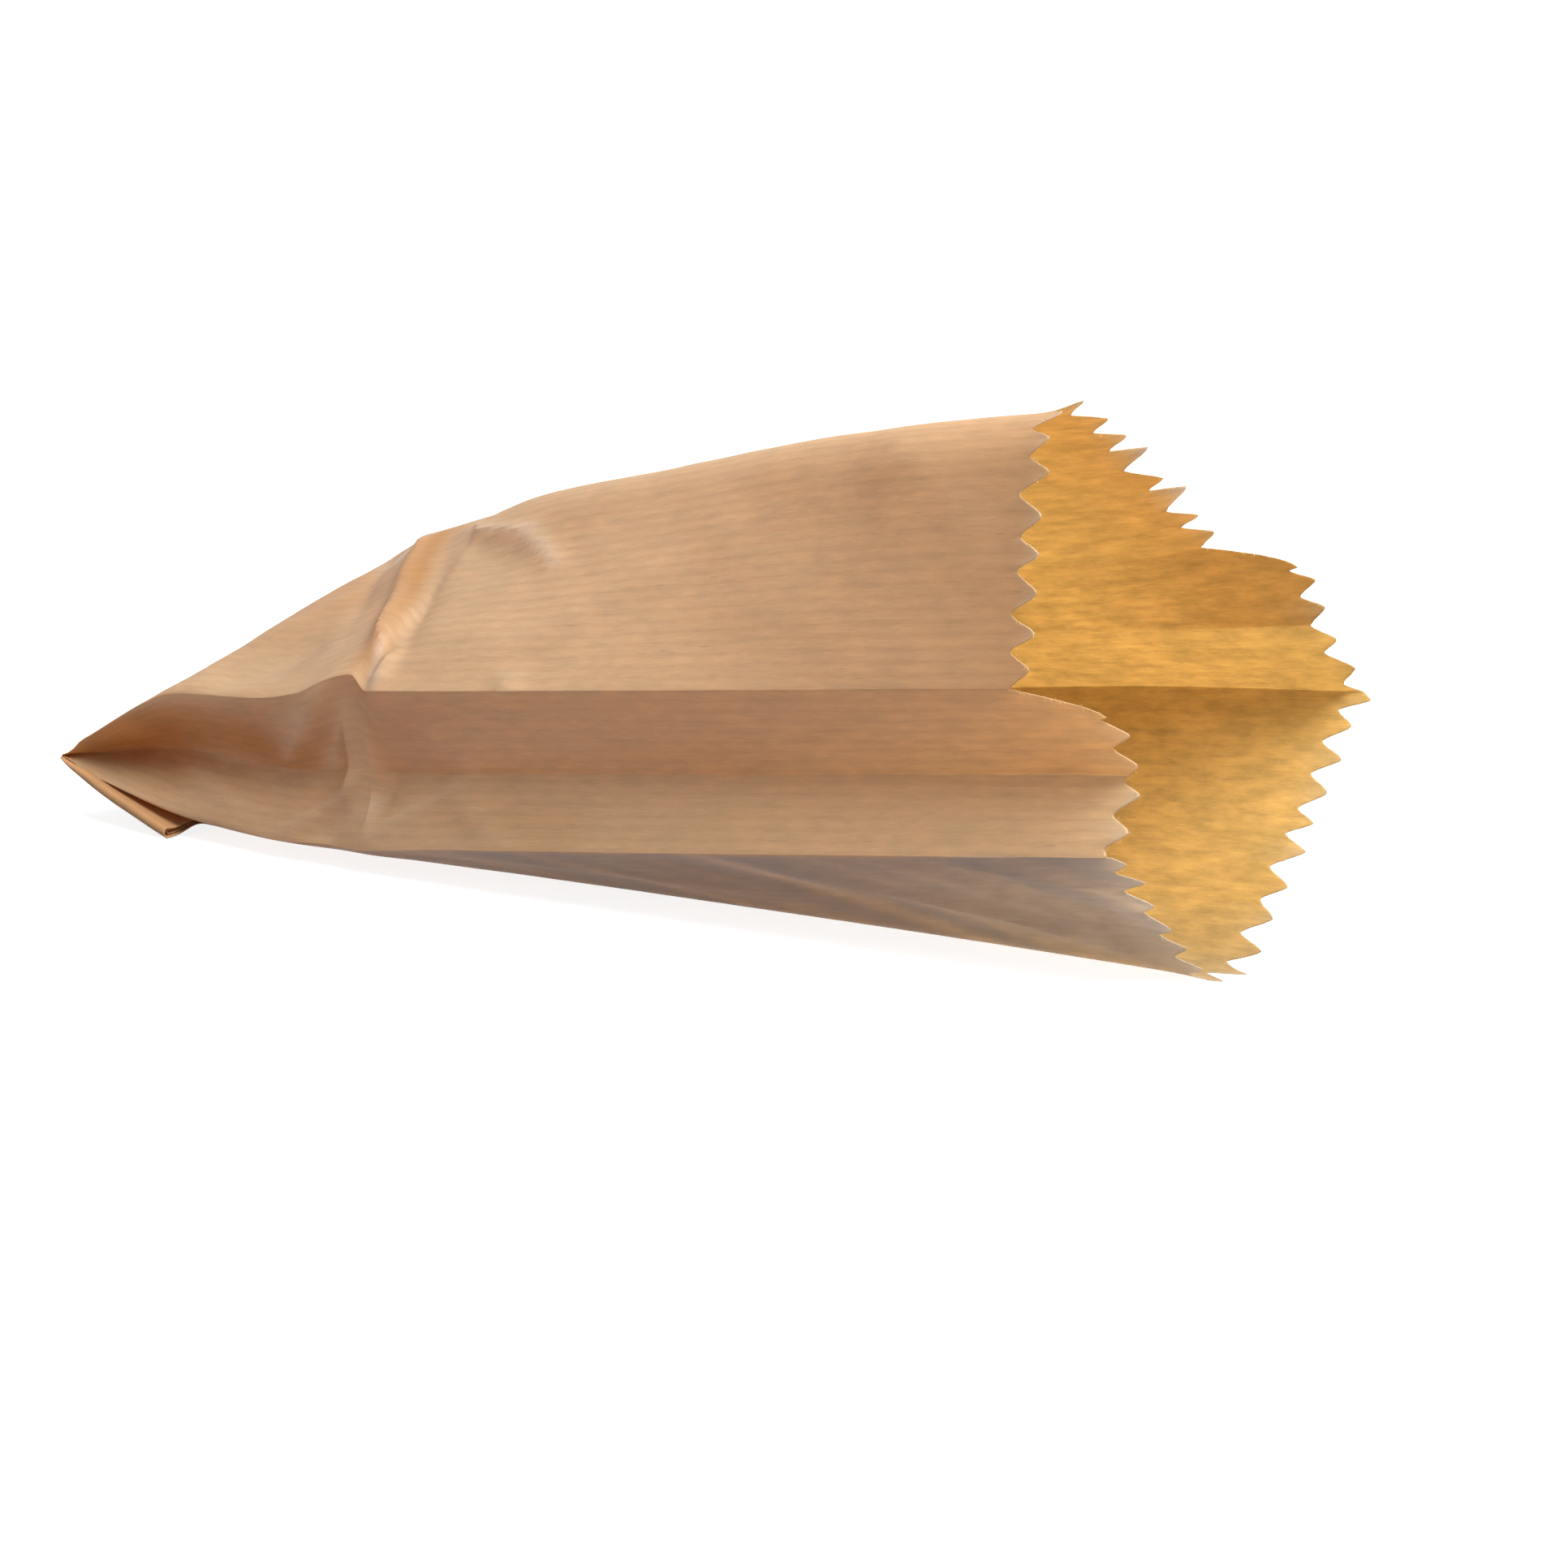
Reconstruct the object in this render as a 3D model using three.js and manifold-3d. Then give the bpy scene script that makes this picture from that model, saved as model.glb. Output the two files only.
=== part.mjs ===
import * as THREE from "three";
import Module from "manifold-3d";

// A small kraft paper bag with gusseted sides, lying on its back panel with the mouth held open.
// Everything is in millimetres. +X runs from the closed end to the mouth, +Z is up, z = 0 is the table.

// Driving dimensions of the flat bag
const bagLength = 237;
const panelWidth = 95;
const gussetUpper = 17;
const gussetLower = 14;
const wall = 0.3;

// The saw-cut mouth: the front panel is cut shorter than the gussets and the back panel
const lipOffset = 17;
const toothPitch = 5.8;
const toothDepth = 4.8;
const lipBlend = 6;

// The closed end: a glued seam, and the hem strip folded under it
const seamLength = 4;
const hemLength = 29;
const hemThickness = 1.2;
const hemFoot = 3;
const hemInset = 0.5;

// How softly the front and back panels turn over at the ridge and at the foot
const ridgeEase = 9;
const footEase = 3;
const creaseMin = 3;
const footMin = 7;

// Spacing kept between a named edge of the sheet and the nearest plain point of its mesh
const seamClear = 2;
const cutClear = 0.4;

// The open shape, from the closed end to the mouth.
// Each row: share of bagLength, then distances as shares of panelWidth.
// Near lower fold: sideways, height
const nearLowFold = [
  [0.0, -0.5, 0.1105],
  [0.15, -0.488, 0.042],
  [0.23, -0.483, 0.037],
  [0.32, -0.468, 0.047],
  [0.42, -0.452, 0.078],
  [0.6, -0.415, 0.131],
  [0.81, -0.372, 0.195],
  [1.0, -0.333, 0.2535],
];
// Near upper fold: sideways, height
const nearTopFold = [
  [0.0, -0.5, 0.134],
  [0.02, -0.5, 0.158],
  [0.1, -0.497, 0.262],
  [0.13, -0.495, 0.286],
  [0.23, -0.49, 0.306],
  [0.29, -0.486, 0.334],
  [0.41, -0.477, 0.37],
  [0.69, -0.431, 0.449],
  [0.92, -0.385, 0.513],
  [1.0, -0.378, 0.533],
];
// Ridge of the front panel: height, share of the panel that lies flat on top, share of the near slope
const ridge = [
  [0.0, 0.134, 0.9, 0.5],
  [0.1, 0.262, 0.9, 0.5],
  [0.24, 0.582, 0.02, 0.5],
  [0.325, 0.662, 0.0, 0.5],
  [0.485, 0.774, 0.0, 0.49],
  [0.6, 0.834, 0.02, 0.485],
  [0.73, 0.899, 0.05, 0.482],
  [0.86, 0.949, 0.075, 0.482],
  [1.0, 0.985, 0.09, 0.482],
];
// Far upper fold: height
const farTopFold = [
  [0.0, 0.134],
  [0.02, 0.158],
  [0.1, 0.262],
  [0.23, 0.33],
  [0.42, 0.44],
  [0.68, 0.58],
  [1.0, 0.725],
];
// Back panel: foot height, near run from fold to foot, far run from foot to fold, far fold height
const backPanel = [
  [0.0, 0.1105, 0.105, 0.105, 0.1105],
  [0.1, 0.055, 0.105, 0.105, 0.073],
  [0.17, 0.0235, 0.127, 0.127, 0.073],
  [0.26, 0.0, 0.147, 0.168, 0.115],
  [0.42, 0.0, 0.179, 0.232, 0.215],
  [0.6, 0.0, 0.21, 0.284, 0.31],
  [0.81, 0.0, 0.242, 0.32, 0.385],
  [1.0, 0.0, 0.258, 0.332, 0.435],
];

// Columns across each panel and rows along the bag
const frontColumns = 22;
const backColumns = 20;
const upperColumns = 4;
const lowerColumns = 3;
const rowShares = [0.035, 0.06, 0.08, 0.1, 0.135, 0.17, 0.205, 0.24, 0.28, 0.325, 0.4, 0.485, 0.57, 0.66, 0.75, 0.83];

const wasm = await Module();
wasm.setup();

// A smooth curve through the rows of a table that never overshoots them
function curve(rows) {
  const x = rows.map((row) => row[0]);
  const width = rows[0].length - 1;
  const value = (i, k) => rows[i][k + 1];
  const slope = (i, k) => (value(i + 1, k) - value(i, k)) / (x[i + 1] - x[i]);
  const last = rows.length - 1;
  const tangent = rows.map((row, i) => {
    const out = [];
    for (let k = 0; k < width; k += 1) {
      if (i === 0) {
        out.push(slope(0, k));
      } else if (i === last) {
        out.push(slope(last - 1, k));
      } else {
        const before = slope(i - 1, k);
        const after = slope(i, k);
        out.push(before * after > 0 ? (2 * before * after) / (before + after) : 0);
      }
    }
    return out;
  });
  return (share) => {
    let i = 0;
    while (i < last - 1 && share > x[i + 1]) {
      i += 1;
    }
    const step = x[i + 1] - x[i];
    const t = (share - x[i]) / step;
    const out = [];
    for (let k = 0; k < width; k += 1) {
      const a = value(i, k) * (1 + 2 * t) * (1 - t) ** 2;
      const b = value(i + 1, k) * (3 - 2 * t) * t ** 2;
      const c = tangent[i][k] * step * t * (1 - t) ** 2;
      const d = tangent[i + 1][k] * step * (t - 1) * t ** 2;
      out.push(a + b + c + d);
    }
    return out;
  };
}

const nearLowAt = curve(nearLowFold);
const nearTopAt = curve(nearTopFold);
const ridgeAt = curve(ridge);
const farTopAt = curve(farTopFold);
const backAt = curve(backPanel);

const add = (a, b) => [a[0] + b[0], a[1] + b[1]];
const sub = (a, b) => [a[0] - b[0], a[1] - b[1]];
const scaled = (a, f) => [a[0] * f, a[1] * f];
const span = (a) => Math.hypot(a[0], a[1]);
// The level run of a slope of the given length and rise
const runOf = (length, rise) => Math.sqrt(Math.max(length * length - rise * rise, 0.01 * length * length));

// The inward crease of a gusset between its lower and upper fold
function crease(low, top, inward) {
  const across = sub(top, low);
  const height = span(across);
  const half = (gussetUpper + gussetLower) / 2;
  const loose = Math.sqrt(Math.max(half * half - (height * height) / 4, 0));
  const depth = Math.max(Math.min(loose, 0.9 * height), creaseMin);
  const at = add(low, scaled(across, gussetLower / (gussetUpper + gussetLower)));
  return add(at, [inward * depth, 0]);
}

// Corners of the cross section at x, seen from the mouth and in order round the bag
function corners(x) {
  const share = x / bagLength;
  const low = scaled(nearLowAt(share), panelWidth);
  const top = scaled(nearTopAt(share), panelWidth);
  const [ridgeShare, flatShare, nearShare] = ridgeAt(share);
  const ridgeHeight = ridgeShare * panelWidth;
  const flat = Math.max(flatShare * panelWidth, 2 * wall);
  const nearSlope = (panelWidth - flat) * nearShare;
  const farSlope = panelWidth - flat - nearSlope;
  const farTopHeight = farTopAt(share)[0] * panelWidth;
  const nearRidge = add(top, [runOf(nearSlope, ridgeHeight - top[1]), ridgeHeight - top[1]]);
  const farRidge = add(nearRidge, [flat, 0]);
  const farTop = add(farRidge, [runOf(farSlope, ridgeHeight - farTopHeight), farTopHeight - ridgeHeight]);
  const [footHeight, nearRun, farRun, farHeight] = scaledAll(backAt(share), panelWidth);
  const nearFoot = [low[0] + nearRun, footHeight];
  const nearLength = Math.hypot(nearRun, low[1] - footHeight);
  const farLength = Math.hypot(farRun, farHeight - footHeight);
  const foot = Math.max(panelWidth - nearLength - farLength, footMin);
  const farFoot = [nearFoot[0] + foot, footHeight];
  const farLow = [farFoot[0] + farRun, farHeight];
  return {
    loop: [
      low,
      crease(low, top, 1),
      top,
      nearRidge,
      farRidge,
      farTop,
      crease(farLow, farTop, -1),
      farLow,
      farFoot,
      nearFoot,
    ],
  };
}

function scaledAll(values, f) {
  return values.map((v) => v * f);
}

// The same corners moved inward by the wall, each along the mitre of its two sides
function inset(loop, distance) {
  const count = loop.length;
  return loop.map((point, i) => {
    const before = sub(point, loop[(i + count - 1) % count]);
    const after = sub(loop[(i + 1) % count], point);
    const a = scaled(before, 1 / span(before));
    const b = scaled(after, 1 / span(after));
    const inA = [a[1], -a[0]];
    const inB = [b[1], -b[0]];
    const middle = add(inA, inB);
    const mitre = (2 * distance) / Math.max(span(middle) ** 2, 0.05);
    return add(point, scaled(middle, mitre));
  });
}

// A point at a share of the length of a bent strip, its corners eased over a window
function alongStrip(points, share, ease) {
  const ends = [0];
  for (let i = 1; i < points.length; i += 1) {
    ends.push(ends[i - 1] + span(sub(points[i], points[i - 1])));
  }
  const total = ends[ends.length - 1];
  const at = share * total;
  const window = Math.min(ease, at, total - at);
  const samples = 9;
  let sum = [0, 0];
  for (let n = 0; n < samples; n += 1) {
    const place = at + window * ((2 * n) / (samples - 1) - 1);
    let i = 1;
    while (i < points.length - 1 && place > ends[i]) {
      i += 1;
    }
    const t = (place - ends[i - 1]) / (ends[i] - ends[i - 1]);
    sum = add(sum, add(scaled(points[i - 1], 1 - t), scaled(points[i], t)));
  }
  return scaled(sum, 1 / samples);
}

// Panels in order round the bag: paper width, columns, corners of the strip, ease
const panels = [
  { width: gussetLower, columns: lowerColumns, strip: [0, 1], ease: 0 },
  { width: gussetUpper, columns: upperColumns, strip: [1, 2], ease: 0 },
  { width: panelWidth, columns: frontColumns, strip: [2, 3, 4, 5], ease: ridgeEase },
  { width: gussetUpper, columns: upperColumns, strip: [5, 6], ease: 0 },
  { width: gussetLower, columns: lowerColumns, strip: [6, 7], ease: 0 },
  { width: panelWidth, columns: backColumns, strip: [7, 8, 9, 0], ease: footEase },
];
const panelStart = [0];
for (const panel of panels) {
  panelStart.push(panelStart[panelStart.length - 1] + panel.width);
}
const around = panelStart[panels.length];

// A point of the outer or inner skin at x and at a paper place s round the bag
function skinPoint(x, s, inner) {
  let n = 0;
  while (n < panels.length - 1 && s >= panelStart[n + 1] - 1e-9) {
    n += 1;
  }
  const panel = panels[n];
  const outer = corners(x).loop;
  const loop = inner ? inset(outer, wall) : outer;
  const strip = panel.strip.map((i) => loop[i]);
  const [y, z] = alongStrip(strip, (s - panelStart[n]) / panel.width, panel.ease);
  return [x, y, z];
}

// Paper places of the plain rows
const columnPlaces = [];
panels.forEach((panel, n) => {
  for (let i = 0; i < panel.columns; i += 1) {
    columnPlaces.push(panelStart[n] + (panel.width * i) / panel.columns);
  }
});

// The cut edge of the mouth as a list of paper place and x, four points to a tooth
function toothRun(from, to, edge) {
  const teeth = Math.max(2, Math.round((to - from) / toothPitch));
  const drop = [1, 0.35, 0, 0.35];
  const out = [];
  for (let i = 0; i < teeth * 4; i += 1) {
    out.push([from + ((to - from) * i) / (teeth * 4), edge - drop[i % 4] * toothDepth]);
  }
  out.push([to, edge - toothDepth]);
  return out;
}

// The smooth slope of the cut between the short front panel and the long rest
function blendRun(from, to, start, end) {
  const out = [];
  for (let i = 1; i < 4; i += 1) {
    const t = i / 4;
    out.push([from + (to - from) * t, start + (end - start) * Math.sin((t * Math.PI) / 2)]);
  }
  return out;
}

function mouthEdge() {
  const shortEdge = bagLength - lipOffset + toothDepth / 2;
  const blend = Math.min(lipBlend, gussetUpper * 0.6);
  const nearEnd = panelStart[2] - blend;
  const farEnd = panelStart[3] + blend;
  const front = toothRun(panelStart[2], panelStart[3], shortEdge);
  const back = toothRun(farEnd, nearEnd + around, bagLength);
  const valley = bagLength - toothDepth;
  const farBlend = blendRun(panelStart[3], farEnd, shortEdge - toothDepth, valley);
  const nearBlend = blendRun(nearEnd, panelStart[2], valley, shortEdge - toothDepth)
    .map(([s], i, all) => [s, blendRun(0, 1, shortEdge - toothDepth, valley)[all.length - 1 - i][1]]);
  const points = [...front, ...farBlend, ...back, ...nearBlend.map(([s, x]) => [s + around, x])];
  const folds = panelStart.slice(0, 6).map((s) => s + around);
  for (const fold of [...folds, ...panelStart.slice(3, 6)]) {
    const wrapped = fold > panelStart[2] + around ? fold - around : fold;
    const i = points.findIndex(([s], k) => k > 0 && s > wrapped + 1e-6 && points[k - 1][0] < wrapped - 1e-6);
    if (i > 0) {
      const [s0, x0] = points[i - 1];
      const [s1, x1] = points[i];
      const x = x0 + ((x1 - x0) * (wrapped - s0)) / (s1 - s0);
      if (wrapped - s0 < cutClear) {
        points[i - 1] = [wrapped, x0];
      } else if (s1 - wrapped < cutClear) {
        points[i] = [wrapped, x1];
      } else {
        points.splice(i, 0, [wrapped, x]);
      }
    }
  }
  return points
    .map(([s, x]) => [s >= around - 1e-9 ? s - around : s, x])
    .sort((a, b) => a[0] - b[0]);
}

// The bag as one closed skin: outer rows, the cut edge, inner rows and the two end walls
function bagSkin() {
  const vertices = [];
  const triangles = [];
  const put = (p) => vertices.push(p) - 1;
  const face = (a, b, c, flip) => triangles.push(flip ? [a, c, b] : [a, b, c]);
  const edge = mouthEdge();

  // Fills between two closed rows whose points are sorted by paper place
  const zip = (rowA, placesA, rowB, placesB, flip) => {
    let i = 0;
    let j = 0;
    while (i < rowA.length || j < rowB.length) {
      const nextA = i < rowA.length ? placesA[i + 1] ?? around : Infinity;
      const nextB = j < rowB.length ? placesB[j + 1] ?? around : Infinity;
      const a = rowA[i % rowA.length];
      const b = rowB[j % rowB.length];
      if (nextA < nextB - 1e-6 || j >= rowB.length) {
        face(a, b, rowA[(i + 1) % rowA.length], flip);
        i += 1;
      } else if (nextB < nextA - 1e-6 || i >= rowA.length) {
        face(a, b, rowB[(j + 1) % rowB.length], flip);
        j += 1;
      } else {
        const a1 = rowA[(i + 1) % rowA.length];
        const b1 = rowB[(j + 1) % rowB.length];
        face(a, b, b1, flip);
        face(a, b1, a1, flip);
        i += 1;
        j += 1;
      }
    }
  };

  const rowsOf = (inner) => {
    const xs = rowShares.map((share) => share * bagLength).filter((x) => x > seamLength + seamClear);
    const stations = inner ? [seamLength, ...xs] : [0, seamLength, ...xs];
    const rows = stations.map((x) => columnPlaces.map((s) => put(skinPoint(x, s, inner))));
    for (let k = 1; k < rows.length; k += 1) {
      zip(rows[k - 1], columnPlaces, rows[k], columnPlaces, inner);
    }
    const rim = edge.map(([s, x]) => put(skinPoint(x, s, inner)));
    zip(rows[rows.length - 1], columnPlaces, rim, edge.map((e) => e[0]), inner);
    return { first: rows[0], rim };
  };

  const outer = rowsOf(false);
  const inner = rowsOf(true);
  const rimPlaces = edge.map((e) => e[0]);
  zip(outer.rim, rimPlaces, inner.rim, rimPlaces, false);
  endWall(outer.first, vertices, triangles, true);
  endWall(inner.first, vertices, triangles, false);
  return { vertices, triangles };
}

// A flat wall over one closed row
function endWall(row, vertices, triangles, outward) {
  const outline = row.map((i) => new THREE.Vector2(vertices[i][1], vertices[i][2]));
  for (const [a, b, c] of THREE.ShapeUtils.triangulateShape(outline, [])) {
    const [p, q, r] = [outline[a], outline[b], outline[c]];
    const turn = (q.x - p.x) * (r.y - p.y) - (q.y - p.y) * (r.x - p.x);
    const facesMouth = turn > 0;
    triangles.push(facesMouth === outward ? [row[a], row[c], row[b]] : [row[a], row[b], row[c]]);
  }
}

// The hem strip: a bent bar that droops from the seam to the table and lies flat on its foot
function hemSolid() {
  const tip = nearLowAt(0)[1] * panelWidth;
  const roof = nearTopAt(0)[1] * panelWidth;
  const under = [
    [0, tip + 0.1 * (roof - tip)],
    [hemLength * 0.23, tip * 0.62],
    [hemLength - hemFoot, 0],
    [hemLength, 0],
  ];
  const over = under.map(([x, z], i) => [x, i === 0 ? roof - 0.1 * (roof - tip) : z + hemThickness]);
  const outline = [...under, ...over.reverse()];
  const half = panelWidth / 2 - hemInset;
  const solid = new wasm.CrossSection([outline]).extrude(2 * half);
  // Turns the drawn (x, z) outline upright, with its length along y
  return solid.rotate([90, 0, 0]).translate([0, half, 0]);
}

function toManifold({ vertices, triangles }) {
  const mesh = new wasm.Mesh({
    numProp: 3,
    vertProperties: new Float32Array(vertices.flat()),
    triVerts: new Uint32Array(triangles.flat()),
  });
  mesh.merge();
  return new wasm.Manifold(mesh);
}

function toGeometry(solid) {
  const mesh = solid.getMesh();
  const geometry = new THREE.BufferGeometry();
  geometry.setAttribute("position", new THREE.BufferAttribute(new Float32Array(mesh.vertProperties), 3));
  geometry.setIndex(new THREE.BufferAttribute(new Uint32Array(mesh.triVerts), 1));
  return geometry;
}

const bag = toManifold(bagSkin());
const whole = bag.add(hemSolid());

// The frame's origin is the middle of the footprint, on the table
const box = whole.boundingBox();
const centred = whole.translate([-(box.min[0] + box.max[0]) / 2, -(box.min[1] + box.max[1]) / 2, -box.min[2]]);
const geometry = toGeometry(centred);
geometry.computeVertexNormals();

const kraft = new THREE.MeshStandardMaterial({ name: "kraft_paper", color: 0xc9a06c, roughness: 0.7 });
const bagMesh = new THREE.Mesh(geometry, kraft);
bagMesh.name = "paper_bag";

const group = new THREE.Group();
group.name = "paper_bag_lying_open";
group.add(bagMesh);

export default group;
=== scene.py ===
"""A small ribbed kraft paper bag, lying on its back panel with its saw-cut mouth held open."""

import math
import random

import bmesh
import bpy
import numpy as np
from bpy.props import FloatProperty, FloatVectorProperty, IntProperty, PointerProperty
from mathutils import Matrix, Vector, noise


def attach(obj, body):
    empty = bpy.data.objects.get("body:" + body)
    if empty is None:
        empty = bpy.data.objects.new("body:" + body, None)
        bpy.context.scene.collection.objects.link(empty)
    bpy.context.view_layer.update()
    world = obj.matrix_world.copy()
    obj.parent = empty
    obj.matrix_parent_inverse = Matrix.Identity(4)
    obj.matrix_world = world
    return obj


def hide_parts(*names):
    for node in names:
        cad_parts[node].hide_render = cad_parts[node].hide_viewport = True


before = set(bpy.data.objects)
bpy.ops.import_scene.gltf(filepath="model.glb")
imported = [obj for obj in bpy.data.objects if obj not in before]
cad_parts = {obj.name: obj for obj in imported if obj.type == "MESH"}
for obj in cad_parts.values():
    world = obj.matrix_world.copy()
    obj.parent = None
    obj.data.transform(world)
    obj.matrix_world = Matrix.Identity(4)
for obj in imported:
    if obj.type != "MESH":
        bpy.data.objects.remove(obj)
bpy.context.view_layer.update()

bl_info = {
    "name": "Kraft paper bag",
    "version": (1, 0, 0),
    "blender": (4, 5, 0),
    "location": "3D View > Sidebar > Paper Bag",
    "description": "Makes a gusseted kraft paper bag that lies open, and a plain studio for it",
    "category": "Add Mesh",
}

MM = 0.001


def ramp(value, start, reach):
    """0 up to the start, 1 past the reach, and straight in between."""
    return min(max((value - start) / reach, 0.0), 1.0)


def linear(hex_colour):
    """Turn an sRGB hex colour such as #c9a06c into linear red, green and blue."""
    out = []
    for i in (1, 3, 5):
        c = int(hex_colour[i : i + 2], 16) / 255.0
        out.append(c / 12.92 if c <= 0.04045 else ((c + 0.055) / 1.055) ** 2.4)
    return out


# The open shape, as in the part's source: share of the bag's length, then shares of the panel width
NEAR_LOW_FOLD = [
    (0.0, -0.5, 0.1105),
    (0.15, -0.488, 0.042),
    (0.23, -0.483, 0.037),
    (0.32, -0.468, 0.047),
    (0.42, -0.452, 0.078),
    (0.6, -0.415, 0.131),
    (0.81, -0.372, 0.195),
    (1.0, -0.333, 0.2535),
]
NEAR_TOP_FOLD = [
    (0.0, -0.5, 0.134),
    (0.02, -0.5, 0.158),
    (0.1, -0.497, 0.262),
    (0.13, -0.495, 0.286),
    (0.23, -0.49, 0.306),
    (0.29, -0.486, 0.334),
    (0.41, -0.477, 0.37),
    (0.69, -0.431, 0.449),
    (0.92, -0.385, 0.513),
    (1.0, -0.378, 0.533),
]
RIDGE = [
    (0.0, 0.134, 0.9, 0.5),
    (0.1, 0.262, 0.9, 0.5),
    (0.24, 0.582, 0.02, 0.5),
    (0.325, 0.662, 0.0, 0.5),
    (0.485, 0.774, 0.0, 0.49),
    (0.6, 0.834, 0.02, 0.485),
    (0.73, 0.899, 0.05, 0.482),
    (0.86, 0.949, 0.075, 0.482),
    (1.0, 0.985, 0.09, 0.482),
]
FAR_TOP_FOLD = [
    (0.0, 0.134),
    (0.02, 0.158),
    (0.1, 0.262),
    (0.23, 0.33),
    (0.42, 0.44),
    (0.68, 0.58),
    (1.0, 0.725),
]
BACK_PANEL = [
    (0.0, 0.1105, 0.105, 0.105, 0.1105),
    (0.1, 0.055, 0.105, 0.105, 0.073),
    (0.17, 0.0235, 0.127, 0.127, 0.073),
    (0.26, 0.0, 0.147, 0.168, 0.115),
    (0.42, 0.0, 0.179, 0.232, 0.215),
    (0.6, 0.0, 0.21, 0.284, 0.31),
    (0.81, 0.0, 0.242, 0.32, 0.385),
    (1.0, 0.0, 0.258, 0.332, 0.435),
]

# The near upper fold is pinched up here: x where it starts to climb and to fall, reaches and rise in mm
PINCH_CLIMB = (64.0, 13.5)
PINCH_FALL = (77.5, 4.5)
PINCH_RISE = (0.6, 3.0)
# Folds open up from this x towards the closed end
SOFT_START, SOFT_REACH = 78.0, 38.0
# The closed end is one folded edge: its length in mm, and its height as a share of the panel width
TIP_LENGTH, TIP_HEIGHT = 5.0, 0.1222
# Painted glow of light coming through the raised panels towards the mouth: x and reach in mm
MOUTH_GLOW = (178.0, 40.0)
# Painted reflection of the pale table on the near half of the back panel: paper place and x, each with its
# reach in mm
MIRROR_ACROSS, MIRROR_ALONG = (196.0, 34.0), (50.0, 50.0)
# The last stretch before the long cut, in mm, where the mesh follows the teeth
CUT_BAND = 34.0
# Along the cut, the front lip runs into the long cut over this much paper past each upper fold, in mm
LIP_BLEND = 6.0
# Underside of the hem at its two ends: x and height in mm
HEM_UNDERSIDE = [(0.0, 11.3), (1.5, 10.3), (4.8, 8.8), (13.3, 5.4), (20.0, 3.3), (25.0, 1.7)]
HEM_COLUMNS, HEM_EDGE_STEPS, HEM_ROWS = 96, 8, 40
# The footprint's middle lies this far from the middle of the closed end, in mm
SIDE_SHIFT = -0.3166
# Where the camera stands, in mm from the middle of the footprint
CAMERA_PLACE = (526.27, -562.5606, 168.961)


class BagSizes(bpy.types.PropertyGroup):
    """Sizes of the flat bag and of its cut"""

    length: FloatProperty(name="Length", description="Closed end to the long cut", default=237.0, min=60.0)
    width: FloatProperty(name="Panel width", description="Front and back panel", default=95.0, min=30.0)
    gusset_upper: FloatProperty(name="Upper gusset", description="Crease to upper fold", default=17.0)
    gusset_lower: FloatProperty(name="Lower gusset", description="Crease to lower fold", default=14.0)
    paper: FloatProperty(name="Paper", description="Paper thickness as modelled, in mm", default=0.13)
    lip_offset: FloatProperty(name="Lip offset", description="Front panel cut shorter by this", default=17.0)
    tooth_pitch: FloatProperty(name="Tooth pitch", description="Spacing of the saw cut", default=5.8)
    tooth_depth: FloatProperty(name="Tooth depth", description="Depth of the saw cut", default=4.8)
    hem_length: FloatProperty(name="Hem", description="Strip folded under the closed end", default=29.0)
    rib_pitch: FloatProperty(name="Rib pitch", description="Spacing of the ribs in the paper", default=2.05)
    wrinkle: FloatProperty(name="Wrinkles", description="Height of the wrinkles, 1 as built", default=1.0)
    seed: IntProperty(name="Seed", description="Seed of the ragged cut and soft waves", default=7)


class BagColours(bpy.types.PropertyGroup):
    """Colours of the paper, in linear light"""

    glazed: FloatVectorProperty(
        name="Outside", description="Glazed outside of the kraft", subtype="COLOR", default=linear("#e6c79e")
    )
    rib: FloatVectorProperty(
        name="Rib line", description="Darker line of each rib", subtype="COLOR", default=linear("#cfa981")
    )
    inside: FloatVectorProperty(
        name="Inside", description="Rough inside of the kraft", subtype="COLOR", default=linear("#f8e096")
    )
    cut: FloatVectorProperty(
        name="Cut edge", description="Pale torn fibres at the cut", subtype="COLOR", default=linear("#e6c59c")
    )


class StudioLook(bpy.types.PropertyGroup):
    """Lamps and camera of the studio"""

    azimuth: FloatProperty(name="Azimuth", description="Camera azimuth in degrees", default=42.0)
    elevation: FloatProperty(name="Elevation", description="Camera elevation in degrees", default=11.3)
    lens: FloatProperty(name="Lens", description="Focal length on a 36 mm sensor", default=102.48)
    key: FloatProperty(name="Key lamp", description="Power of the key lamp", default=27.0, unit="POWER")
    sky: FloatProperty(name="Room light", description="Strength of the even light", default=0.37)


def table_curve(rows):
    """A smooth curve through the rows of a table that never overshoots them."""
    data = np.array(rows, float)
    x, value = data[:, 0], data[:, 1:]
    slope = np.diff(value, axis=0) / np.diff(x)[:, None]
    tangent = np.zeros_like(value)
    tangent[0], tangent[-1] = slope[0], slope[-1]
    for i in range(1, len(x) - 1):
        before, after = slope[i - 1], slope[i]
        same = before * after > 0
        total = np.where(same, before + after, 1.0)
        tangent[i] = np.where(same, 2 * before * after / total, 0.0)

    def at(share):
        i = int(np.clip(np.searchsorted(x, share, side="right") - 1, 0, len(x) - 2))
        step = x[i + 1] - x[i]
        t = (share - x[i]) / step
        return (
            value[i] * (1 + 2 * t) * (1 - t) ** 2
            + value[i + 1] * (3 - 2 * t) * t**2
            + tangent[i] * step * t * (1 - t) ** 2
            + tangent[i + 1] * step * (t - 1) * t**2
        )

    return at


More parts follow.
